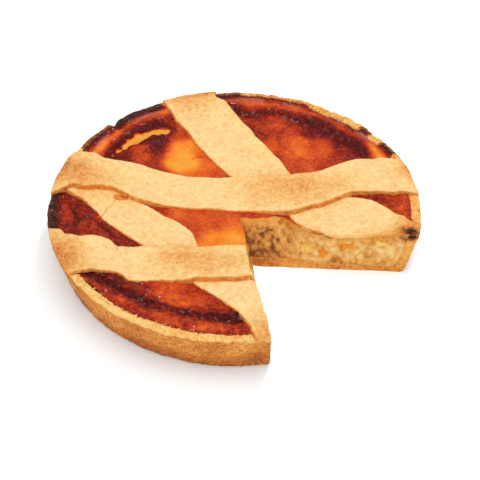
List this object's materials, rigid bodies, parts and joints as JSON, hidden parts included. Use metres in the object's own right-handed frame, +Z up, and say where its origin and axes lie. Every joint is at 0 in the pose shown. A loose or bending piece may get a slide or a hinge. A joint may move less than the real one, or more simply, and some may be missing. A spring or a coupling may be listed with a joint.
{
  "type": "pastiera",
  "caption": "Round shallow tart of shortcrust with a baked ricotta and wheat filling under a lattice of flat dough strips, with one wedge cut out of it.",
  "frame": {"origin": "middle of the round base, on the surface that the tart stands on", "axes": "+Z up, the long top strip runs along X, and the notch opens towards +X and -Y"},
  "size_m": [0.2626, 0.2622, 0.0393],
  "materials": {
    "crust": "baked shortcrust, golden brown and speckled, crumbly at the rim",
    "filling": "baked glossy skin from orange to dark red-brown, cream-coloured and lumpy where it is cut",
    "lattice": "baked shortcrust, pale with browned places",
    "candied_orange": "moist candied peel",
    "candied_citron": "moist candied peel"
  },
  "bodies": {
    "root": {"crust": "crust", "filling": "filling", "strip_diagonal_back": "lattice", "strip_diagonal_front": "lattice", "strip_long_back": "lattice", "strip_long_front": "lattice", "candied_orange_right": "candied_orange", "candied_orange_deep": "candied_orange", "candied_orange_left": "candied_orange", "candied_orange_front": "candied_orange", "candied_citron_right": "candied_citron", "candied_citron_rim": "candied_citron", "candied_citron_left": "candied_citron", "candied_citron_front": "candied_citron"}
  },
  "joints": []
}
